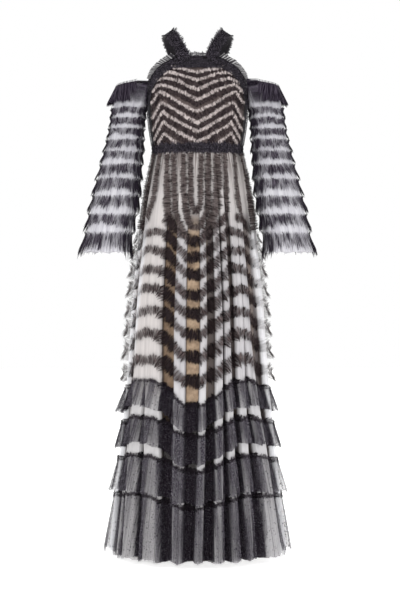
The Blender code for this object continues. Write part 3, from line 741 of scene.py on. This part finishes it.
def make_armhole_frill(side, hand):
    surface = facing(side)
    sign = HANDS[hand] if side == "front" else -HANDS[hand]

    def place(s, t):
        share = s if sign > 0 else 1 - s
        angle, z, free_angle, free_z = along_table(ARMHOLE, share * (len(ARMHOLE) - 1))
        turns = s * PLEATS + 0.5 * uneven(s * PLEATS, 2.0, 77 + sign)
        free = (0.9 - 1.35 * t) * (1 + 0.12 * uneven(s * PLEATS, 0.7, 80 + sign))
        out = 8.2 - 2.4 * free + 1.6 * (1 - t) * np.sin(2 * np.pi * turns)
        angle, z = angle + (free_angle - angle) * free, z + (free_z - z) * free
        return surface(sign * angle, z, out), turns, t, 0.0

    sew(f"armhole_frill_{side}_{hand}_net", [lay(190, 6, place)], striped, 0.018,
        [f"armhole_frill_{side}_{hand}"])


for side in SIDES:
    for hand in HANDS:
        make_armhole_frill(side, hand)

# %% [markdown]
# ## Straps
# Each strap is a band that runs from the front yoke over the shoulder to the back yoke, covered
# with five rows of ruffle along its length, so it looks like one thick ruffle with ticked edges.

# %% Middle of the right strap's underside, front to back
STRAP = np.array([
    (35, -78, -88), (42, -76, -67), (56, -62, -42), (71, -40, -15), (81, -14, -2), (87, 12, -3),
    (85, 36, -17), (76, 58, -40), (66, 76, -64), (56, 85, -88)], float)
ACROSS = np.array((0.83, 0.0, -0.56)) / np.hypot(0.83, 0.56)
STRAP_WIDTH, STRAP_STEPS = 30, 200

# %% The strap's form
def on_strap(sign):
    """A surface like the others: its degrees are how far across, on the usual radius, and its height
    how far along the strap."""
    ends = np.cumsum([0, *np.linalg.norm(np.diff(STRAP, axis=0), axis=1)])
    fine = np.linspace(0, ends[-1], STRAP_STEPS)
    middle = np.stack([np.interp(fine, ends, column) for column in STRAP.T], -1)
    middle[9:-9] = np.stack([rounded(column, 9) for column in middle.T], -1)[9:-9]
    ahead = np.gradient(middle, axis=0)
    outward = unit(np.cross(ACROSS, ahead))

    def surface(degrees, along, out):
        degrees, along, out = alike(degrees, along, out)
        across = np.radians(degrees) * USUAL_RADIUS
        at = np.clip(-along / ends[-1] * (STRAP_STEPS - 1), 0, STRAP_STEPS - 1)
        point, up = (np.stack(along_table(run, at), -1) for run in (middle, outward))
        lift = 3.0 * smooth(12, 19, np.abs(across))
        point = point + ACROSS * across[..., None] + up * (out + lift)[..., None]
        return point * (sign, 1, 1)

    return surface, ends[-1]

# %% Straps
def make_strap(hand, sign):
    surface, length = on_strap(sign)
    degree = math.degrees(1 / USUAL_RADIUS)

    def band(s, t):
        across = (s - 0.5) * STRAP_WIDTH * sign
        return surface(across * degree, -length * t, 1.0), s, t, 0.0

    base = sew(f"strap_{hand}_band", [lay(8, 60, band)], black_net, 0.036, [f"strap_{hand}"],
               thick=0.0012)
    rows = []
    for number, across in enumerate((-13.5, -6.8, 0.0, 6.8, 13.5)):
        line = np.array([(across * degree, 0.0), (across * degree, -length)])
        reach = 6.5 if number in (0, 4) else 5.4
        rows.append(gathered(surface, line, up=reach, down=reach, out=2.6, wave=1.5, lift=(1.6, 1.6),
                             period=5.8, seed=400 + 7 * number + sign, rows=4, ragged=0.6))
    sew(f"strap_{hand}_ruffles", rows, trim_black, 0.011)


for hand, sign in HANDS.items():
    make_strap(hand, sign)

# %% [markdown]
# ## Waistband
# A narrow black band holds bodice and skirt together. Three rows of ruffle are sewn round it.

# %% Waistband
def waist_band(s, t):
    top = WAIST_TOP - 3
    return on_bodice(-180 + 360 * s, top + (WAIST_LOW - top) * t, 3.4), s, t, 0.0


sew("waistband_band", [lay(160, 3, waist_band, closed=True)], black_net, 0.025, ["waistband"])
waist_rows = []
for number, z in enumerate((-332, WAIST_SEAM, WAIST_LOW)):
    degrees = np.linspace(-180.0, 180.0, 73)
    ring = np.stack([degrees, z + 0 * degrees], -1)
    waist_rows.append(gathered(on_bodice, ring, up=7.5, down=7.5, out=4.4, wave=1.6, lift=(1.4, 1.6),
                               period=5.2, seed=500 + number, rows=4, radius=130, ragged=0.6))
sew("waistband_ruffles", waist_rows, trim_black, 0.0115)

# %% [markdown]
# ## Sleeves
# The bell sleeves hang off the shoulder. The tube is pale sheer tulle; a wide black flounce
# falls from its top edge, and ten gathered rows go round it, taller and thinner towards the
# cuff. Each row has a dense gathering line, and its hem is a fringe of loose threads.

# %% Flounce tulle: dark brushed streaks that lean, paler towards the body and the hem
def brushed_tulle():
    shader = Shader("brushed flounce tulle")
    along, across = shader.cloth_place()
    lean = along + across * 2.2
    strokes = shader.noise(lean * 0.9, across * 0.7, 2.0).sharpen(0.38, 0.62)
    threads = shader.noise(lean * 4.0, across * 1.2, 8.0)
    ticks = shader.noise(along * 3.0, across * 0.5, 4.0).sharpen(0.46, 0.56)
    edge = (1 - across - threads * 0.16).sharpen(-0.06, 0.08) * (across.sharpen(0.06, 0.10) + ticks).clamp()
    near = shader.deep()
    alpha = (0.80 + strokes * 0.4 + threads * 0.30 - near * (0.02 + across * 0.85)) * edge
    base = shader.blend(threads.sharpen(0.45, 0.78), (0.007, 0.004, 0.010), (0.100, 0.084, 0.112))
    return shader.finish(0.85, 0.05, 0.08, Base_Color=base, Alpha=alpha.clamp())


flounce_black = brushed_tulle()

# %% Tables of the right sleeve: height, centre, half width, half depth, y
SLEEVE = np.array([
    (-235, 200, 46, 50, -2), (-310, 209, 49, 50, -5), (-396, 223, 57, 55, -9), (-483, 237, 65, 62, -13),
    (-570, 254, 65, 68, -17), (-636, 266, 68, 71, -20)], float)
SLEEVE_HEM, FLOUNCE_HEM = -636, -216
# points where the sleeve's top edge meets the armhole: angle, height, out
SLEEVE_ARMHOLE = np.array([
    (90.0, -214, 5.2), (78.0, -192, 5.2), (70.5, -168, 5.2), (65.0, -144, 6.0)], float)
# the rest of the top edge: its centre, half width, half depth, and height at the body and far from it
TOP_CENTRE, TOP_WIDTH, TOP_DEPTH, TOP_NEAR, TOP_FAR = 190, 46, 57, -144, -160
# height of a row's gathering line, how far it reaches up and down, and how far its hem stands out
SLEEVE_ROWS = [(-229, 9, 14, 5), (-258, 9, 14, 5), (-288, 9, 15, 6), (-319, 8, 21, 8), (-354, 8, 21, 8),
               (-389, 7, 28, 10), (-431, 7, 32, 10), (-481, 7, 32, 11), (-533, 7, 33, 11), (-586, 8, 48, 12)]

# %% The sleeve's form
def sleeve_edge(turn):
    """The sleeve's top edge at a turn in degrees, from the body side towards the front."""
    from_body = turned(turn)
    sign = np.where((turn % 360) <= 180, 1.0, -1.0)
    steps = np.arange(4) * 22.5
    angle, z, out = (np.interp(from_body, steps, SLEEVE_ARMHOLE[:, c]) for c in range(3))
    near = on_bodice(angle, z, out) * np.stack([np.ones_like(sign), sign, np.ones_like(sign)], -1)
    radians = np.radians(turn)
    free_z = TOP_NEAR + (TOP_FAR - TOP_NEAR) * np.clip((from_body - 67.5) / 112.5, 0, 1) ** 0.6
    far = np.stack([TOP_CENTRE - TOP_WIDTH * np.cos(radians), -TOP_DEPTH * np.sin(radians), free_z], -1)
    return np.where((from_body < 67.5)[..., None], near, far)


def on_sleeve(sign):
    def surface(turn, z, out):
        turn, z, out = alike(turn, z, out)
        turn = turn * sign
        radians = np.radians(turn)
        low = np.minimum(z, SLEEVE[0, 0])
        centre, half, depth, y = (read(SLEEVE, low, c, 10) for c in (1, 2, 3, 4))
        x_unit, y_unit = -np.cos(radians), -np.sin(radians)
        point = np.stack([centre + half * x_unit, y + depth * y_unit, low], -1)
        edge = sleeve_edge(turn)
        share = np.clip((z - SLEEVE[0, 0]) / (edge[..., 2] - SLEEVE[0, 0]), 0, 1)[..., None]
        point = point * (1 - share) + edge * share
        square = unit(np.stack([x_unit / half, y_unit / depth, 0 * half], -1))
        soft = 1.3 * uneven(turn % 360, 11, 61) + 0.8 * uneven(z, 40, 62)
        return (point + square * (out + soft * (1 - share[..., 0]))[..., None]) * (sign, 1, 1)

    return surface


def drawn_tight(turn, z):
    """1 where a sleeve row is drawn tight: on the side by the body, and less on the outer side. The
    row's tulle reads it as its deep attribute, and paints shade there by holding back its highlight.
    """
    from_body = turned(turn)
    return np.maximum(smooth(64, 36, from_body), 0.7 * smooth(140, 158, from_body)) + 0 * z

# %% Tube, flounce and gathered rows
def make_sleeve(hand, sign):
    surface = on_sleeve(sign)

    def tube(s, t):
        turn = sign * 360 * s
        top = sleeve_edge(turn * sign)[..., 2]
        z = top * (1 - t) + (SLEEVE_HEM - 3 * uneven(s * 60, 1.0, 9)) * t
        return surface(turn, z, 0.0), s * 0.36, t, 0.0

    base = sew(f"sleeve_{hand}_tulle", [lay(120, 60, tube, closed=True)], pale_sleeve, 0.44,
               [f"sleeve_{hand}"])

    def flounce(s, t):
        turn = 24 + 312 * s
        far = 0.5 - 0.5 * np.cos(np.radians(turn))
        edge = sleeve_edge(turn)[..., 2]
        turns = s * 48 + 0.6 * uneven(s * 48, 2.2, 21 + sign)
        hem = FLOUNCE_HEM + 4 * far - 4 * uneven(s * 48, 0.9, 23 + sign)
        z = (edge + 6.0) * (1 - t) + hem * t
        out = 1.0 + (0.45 + 0.55 * far) * 19 * t + 2.2 * t * np.sin(2 * np.pi * turns)
        point = surface(sign * turn, np.minimum(z, edge), out)
        point[..., 2] += np.maximum(z - edge, 0)
        return point, turns + 31 * (sign + 1), t, smooth(0.62, 0.2, far)

    sew(f"sleeve_flounce_{hand}_net", [lay(420, 14, flounce)], flounce_black, 0.066,
        [f"sleeve_flounce_{hand}"])
    turns = np.arange(24.0, 338.0, 4.0)
    edge = np.stack([sign * turns, sleeve_edge(turns)[:, 2] - 3.0], -1)
    head = gathered(surface, edge, up=5.0, down=7.0, out=2.2, wave=1.3, lift=(1.0, 1.6), period=6.4,
                    seed=610 + sign, rows=4, radius=52)
    sew(f"sleeve_flounce_{hand}_head", [head], head_black, 0.012)
    for number, (z, up, down, reach) in enumerate(SLEEVE_ROWS, start=1):
        turns = np.linspace(0, 360, 61)
        wander = 2.2 * uneven(turns / 360 * 8 % 8, 1.0, 31 * number + sign)
        wander[-1] = wander[0]
        row = gathered(surface, np.stack([turns, z + wander], -1), up, down, out=2.6, wave=2.3,
                       lift=(4.5, 0.8 * reach), period=5.2 + 0.12 * number,
                       seed=700 + 13 * number + sign, rows=7, radius=55, ragged=0.22, depth=drawn_tight)
        sew(f"sleeve_frill_{hand}_{number:02d}_net", [row], sleeve_blacks[number - 1], (up + down) * MM,
            [f"sleeve_frill_{hand}_{number:02d}"])


for hand, sign in HANDS.items():
    make_sleeve(hand, sign)

# %% [markdown]
# ## Skirt and lining
# The skirt is ivory tulle over a nude slip that ends below the knee. The cloth is dense enough
# to hide the slip on the crests of its flutes, and lets it show in the recesses, where the
# tulle's material darkens it with painted shade.

# %% Skirt panels and lining
SKIRT_HEM, SLIP_TOP, SLIP_HEM = -1496, -344, -1120


def make_skirt(side):
    first = -90 if side == "front" else 90

    def place(s, t):
        degrees, z = first + 180 * s, WAIST_SEAM + (SKIRT_HEM - WAIST_SEAM) * t
        z = z + 5 * uneven(degrees % 360, 3.1, 8) * smooth(0.9, 1.0, t)
        return on_skirt(degrees, z, 0.0), s * 0.75, t, depth_of_fold(degrees, z)

    sew(f"skirt_{side}_tulle", [lay(360, 80, place)], ivory_skirt, 1.15,
        [f"skirt_{side}"])


for side in SIDES:
    make_skirt(side)


def slip(s, t):
    z = SLIP_TOP + (SLIP_HEM - SLIP_TOP) * t
    room = read(SKIRT_FORM, z, 4) + 3.0 + 6.0 * smooth(0, 0.2, t)
    return on_form(SKIRT_FORM, -180 + 360 * s, z, -room), s, t, 0.0


sew("lining_satin", [lay(96, 24, slip, closed=True)], nude, 0.78, ["lining"])

# %% [markdown]
# ## Ruffles on the skirt
# Below the waist narrow ruffles run down, some in pairs. Further down they turn into arches and
# points round the whole skirt, eight rows in all. Each row follows the flutes in and out.

# %% Upright ruffles in front: how wide each is, then its x and height from the waistband down
EDGE_WIDTH = 30  # the strips at both hips, which stand further off
UPRIGHTS_FRONT = [
    (EDGE_WIDTH, [(-119, -350), (-131, -406), (-140, -455), (-146, -503), (-151, -538), (-157, -574)]),
    (21, [(-103, -350), (-111, -405), (-116, -462), (-125, -505), (-140, -540)]),
    (18, [(-83, -350), (-84, -462), (-84, -505), (-78, -542)]),
    (18, [(-66, -350), (-66, -462), (-63, -515), (-52, -552), (-38, -583), (-29, -600)]),
    (17, [(-39, -350), (-38, -462), (-34, -500), (-29, -535), (-22, -560), (-12, -570), (3, -570),
          (13, -556), (21, -534), (30, -505), (29, -420), (30, -350)]),
    (16, [(-20, -350), (-19, -420), (-18, -488), (-15, -506), (-7, -522), (2, -522), (7, -506),
          (9, -462), (10, -350)]),
    (24, [(55, -350), (54, -462), (51, -505), (45, -534), (36, -556), (26, -580), (16, -600)]),
    (13, [(75, -350), (79, -420), (82, -505), (82, -526)]),
    (20, [(103, -350), (107, -420), (110, -462), (114, -505), (126, -540)]),
    (EDGE_WIDTH, [(120, -350), (133, -406), (142, -455), (148, -503), (153, -538), (158, -574)])]
# the angles of the back's uprights from its middle
UPRIGHTS_BACK = [-82, -69, -56, -43, -31, -19, -7, 7, 19, 31, 43, 56, 69, 82]

# %% Lay the upright ruffles
def upright_front(points):
    place = np.linspace(0, len(points) - 1, 12 * len(points))
    x, z = (rounded(run, 4) for run in along_table(points, place))
    return np.stack([np.degrees(np.arcsin(np.clip(x / read(SKIRT_FORM, z, 1), -1, 1))), z], -1)


def upright_rows(side):
    rows = []
    if side == "front":
        for number, (width, points) in enumerate(UPRIGHTS_FRONT):
            lift = 6.5 if width == EDGE_WIDTH else 2.0
            reach = 0.66 * width
            rows.append(gathered(on_skirt, upright_front(points), up=reach, down=reach, out=4.0,
                                 wave=lift / 2.4, lift=(lift, lift), period=4.8, seed=900 + 5 * number,
                                 rows=10, ragged=0.25))
    else:
        for number, degrees in enumerate(UPRIGHTS_BACK):
            end = -545 - 35 * abs(math.sin(math.radians(4.4 * degrees)))
            line = np.stack([np.linspace(180 + degrees, 180 + 0.96 * degrees, 30),
                             np.linspace(WAIST_LOW, end, 30)], -1)
            rows.append(gathered(on_skirt, line, up=9.5, down=9.5, out=4.0, wave=1.5, lift=(2.0, 2.0),
                                 period=5.6, seed=960 + 5 * number, rows=8, ragged=0.25))
    return rows


for side in SIDES:
    sew(f"upright_ruffles_{side}_net", upright_rows(side), upright_black, 0.014,
        [f"upright_ruffles_{side}"])

# %% Zigzag rows: height of the peaks, drop at the centre and at the sides, reach up and down
SKIRT_RUFFLES = [
    (-536, 69, 66, 12, 15), (-579, 71, 68, 12, 15), (-630, 71, 70, 12, 16), (-685, 71, 70, 13, 16),
    (-742, 70, 70, 13, 17), (-801, 67, 68, 13, 17), (-867, 66, 64, 14, 18), (-940, 57, 56, 14, 19)]
# angle from the front or the back, and the shares of both drops that a row hangs below its peaks
ZIGZAG = np.array([
    (-90, 0, 1), (-56, 0, 0), (-33, 0, 0), (-9, 1, 0), (4, 1, 0), (29, 0, 0), (43, 0, 0), (90, 0, 1)])


def zigzag_drop(degrees, centre_drop, side_drop):
    """How far a row hangs below its peaks, with the peaks and points rounded off."""
    total = 0
    for shift in (-3, -1.5, 0, 1.5, 3):
        turn = (degrees + shift + 90) % 180 - 90
        centre, side = (np.interp(turn, ZIGZAG[:, 0], share) for share in ZIGZAG.T[1:])
        total = total + (centre_drop * centre + side_drop * side) / 5
    return total

# %% Sew the zigzag rows
for number, (z, centre_drop, side_drop, up, down) in enumerate(SKIRT_RUFFLES, start=1):
    degrees = np.linspace(-180, 180, 481)
    wander = 4.5 * uneven(degrees % 360, 9, 1000 + number)
    heights = z - zigzag_drop(degrees, centre_drop, side_drop) + wander
    turn = (degrees + 90) % 180 - 90
    # the first row is open at its peaks, where the upright ruffles run down into it
    open_peak = ((turn > -53) & (turn < -34)) | ((turn > 33) & (turn < 39))
    keep = ~open_peak if number == 1 else degrees < 181
    rows = [gathered(off_the_sides, run, up, down, out=4.2, wave=2.2, lift=(2.6, 4.0),
                     period=6.2 + 0.15 * number, seed=1100 + 9 * number + i, rows=9,
                     depth=depth_of_fold, radius=175, ragged=0.22)
            for i, run in enumerate(stretches(np.stack([degrees, heights], -1), keep))]
    sew(f"skirt_ruffle_{number}_net", rows, skirt_black, (up + down) * MM,
        [f"skirt_ruffle_{number}"])

# %% [markdown]
# ## Tiers
# Four flounces of dotted black tulle end the skirt. Each is gathered at its head under a narrow
# ruffle and falls in fine uneven pleats to a raw hem. Strips of ivory show between the upper
# ones where a hem ends above the next head.

# %% Tiers: head height, its drops, hem height, its drops, reach
TIER_PLEATS = 96
TIERS = [(-1000, 68, 35, -1075, 66, 30, 24), (-1103, 48, 30, -1180, 55, 25, 19),
         (-1210, 38, 25, -1314, 30, 20, 19), (-1318, 30, 20, -1502, 0, 0, 16)]


def make_tier(number, head_z, centre_drop, side_drop, hem_z, hem_centre, hem_side, reach):
    def line(degrees, z, centre, side, seed, size):
        return z - zigzag_drop(degrees, centre, side) + size * uneven(degrees % 360, 9, seed)

    def place(s, t):
        degrees = -180 + 360 * s
        head = line(degrees, head_z, centre_drop, side_drop, 1200 + number, 3.0)
        hem = line(degrees, hem_z, hem_centre, hem_side, 1210 + number, 4.0)
        hem = hem - 4 * uneven(s * 150, 1.0, 1220 + number)
        turns = s * TIER_PLEATS + 0.8 * uneven(s * TIER_PLEATS, 2.6, 1230 + number)
        z = head * (1 - t) + hem * t
        pleat = np.sin(2 * np.pi * turns) + 0.5 * np.sin(2 * np.pi * turns * 2.37 + 1)
        flare = reach * t ** 0.9 * (0.75 + 0.25 * uneven(degrees % 360, 12, 1240 + number))
        out = 3.0 + flare + pleat * (0.7 + 1.8 * t)
        return on_skirt(degrees, z, out), turns * 2.2, t, depth_of_fold(degrees, z)

    fall = sew(f"tier_{number}_tulle", [lay(900, 14, place, closed=True)], tier_blacks[number - 1],
               (head_z - hem_z) * MM, [f"tier_{number}"])
    degrees = np.linspace(-180, 180, 241)
    heads = line(degrees, head_z, centre_drop, side_drop, 1200 + number, 3.0) - 1.5
    row = gathered(on_skirt, np.stack([degrees, heads], -1), up=7.5, down=6.5, out=4.2, wave=2.0,
                   lift=(2.0, 2.5), period=6.4, seed=1250 + number, rows=4, depth=depth_of_fold,
                   radius=200, ragged=0.45)
    sew(f"tier_{number}_head", [row], head_black, 0.012)


for number, tier in enumerate(TIERS, start=1):
    make_tier(number, *tier)

# %% [markdown]
# ## Floor, light and camera
# The gown is photographed level and from far off, before a white ground. A pale floor, a wide
# soft light in front and above, and a bright surround give the same flat, shadowless light.

# %% Floor
FLOOR = -1.516  # metres, a little under the hem
floor_mesh = bpy.data.meshes.new("floor")
floor_grid = bmesh.new()
bmesh.ops.create_grid(floor_grid, x_segments=1, y_segments=1, size=12.0)
bmesh.ops.translate(floor_grid, verts=floor_grid.verts, vec=(0, 0, FLOOR))
floor_grid.to_mesh(floor_mesh)
floor_grid.free()
floor = show("floor", floor_mesh)
floor_look = Shader("pale floor")
floor_look.surface.inputs["Base Color"].default_value = (0.98, 0.98, 0.98, 1.0)
floor_look.surface.inputs["Emission Color"].default_value = (1.0, 1.0, 1.0, 1.0)
floor_look.surface.inputs["Emission Strength"].default_value = 0.75
floor_mesh.materials.append(floor_look.finish(0.9))
floor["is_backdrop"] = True

# %% Light
world = bpy.data.worlds.new("studio")
world.use_nodes = True
surround = world.node_tree.nodes["Background"]
surround.inputs["Color"].default_value = (1.0, 1.0, 1.0, 1.0)
surround.inputs["Strength"].default_value = 1.0
scene.world = world


def soft_light(name, place, aim, size, power):
    lamp = bpy.data.lights.new(name, "AREA")
    lamp.size, lamp.energy = size, power
    holder = show(name, lamp)
    holder.location = place
    holder.rotation_euler = (Vector(aim) - Vector(place)).to_track_quat("-Z", "Y").to_euler()


soft_light("key", (-1.6, -3.4, 1.6), (0, 0, -0.7), 2.4, 34)
soft_light("fill", (2.6, -3.0, 0.4), (0, 0, -0.8), 2.4, 14)

# %% Camera: its place in metres, its sensor and lens in millimetres
CAMERA_PLACE = (0.00725, -4.5, -0.774)
SENSOR, LENS = 36, 93.1
LAYERS = 24  # how many layers of net a ray of light may cross
camera = show("camera", bpy.data.cameras.new("camera"))
camera.data.sensor_width, camera.data.lens = SENSOR, LENS
camera.location = CAMERA_PLACE
camera.rotation_euler = (math.pi / 2, 0, 0)
scene.camera = camera
scene.view_settings.view_transform = "Standard"
if hasattr(scene, "cycles"):
    scene.cycles.transparent_max_bounces = LAYERS
print("stage set, camera at", tuple(camera.location))

# %% Size beside the model's, then done
low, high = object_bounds()
past = [*(cad_low[i] - low[i] for i in range(3)), *(high[i] - cad_high[i] for i in range(3))]
print("past the model's box, mm:", [round(float(v) * 1000, 1) for v in past])
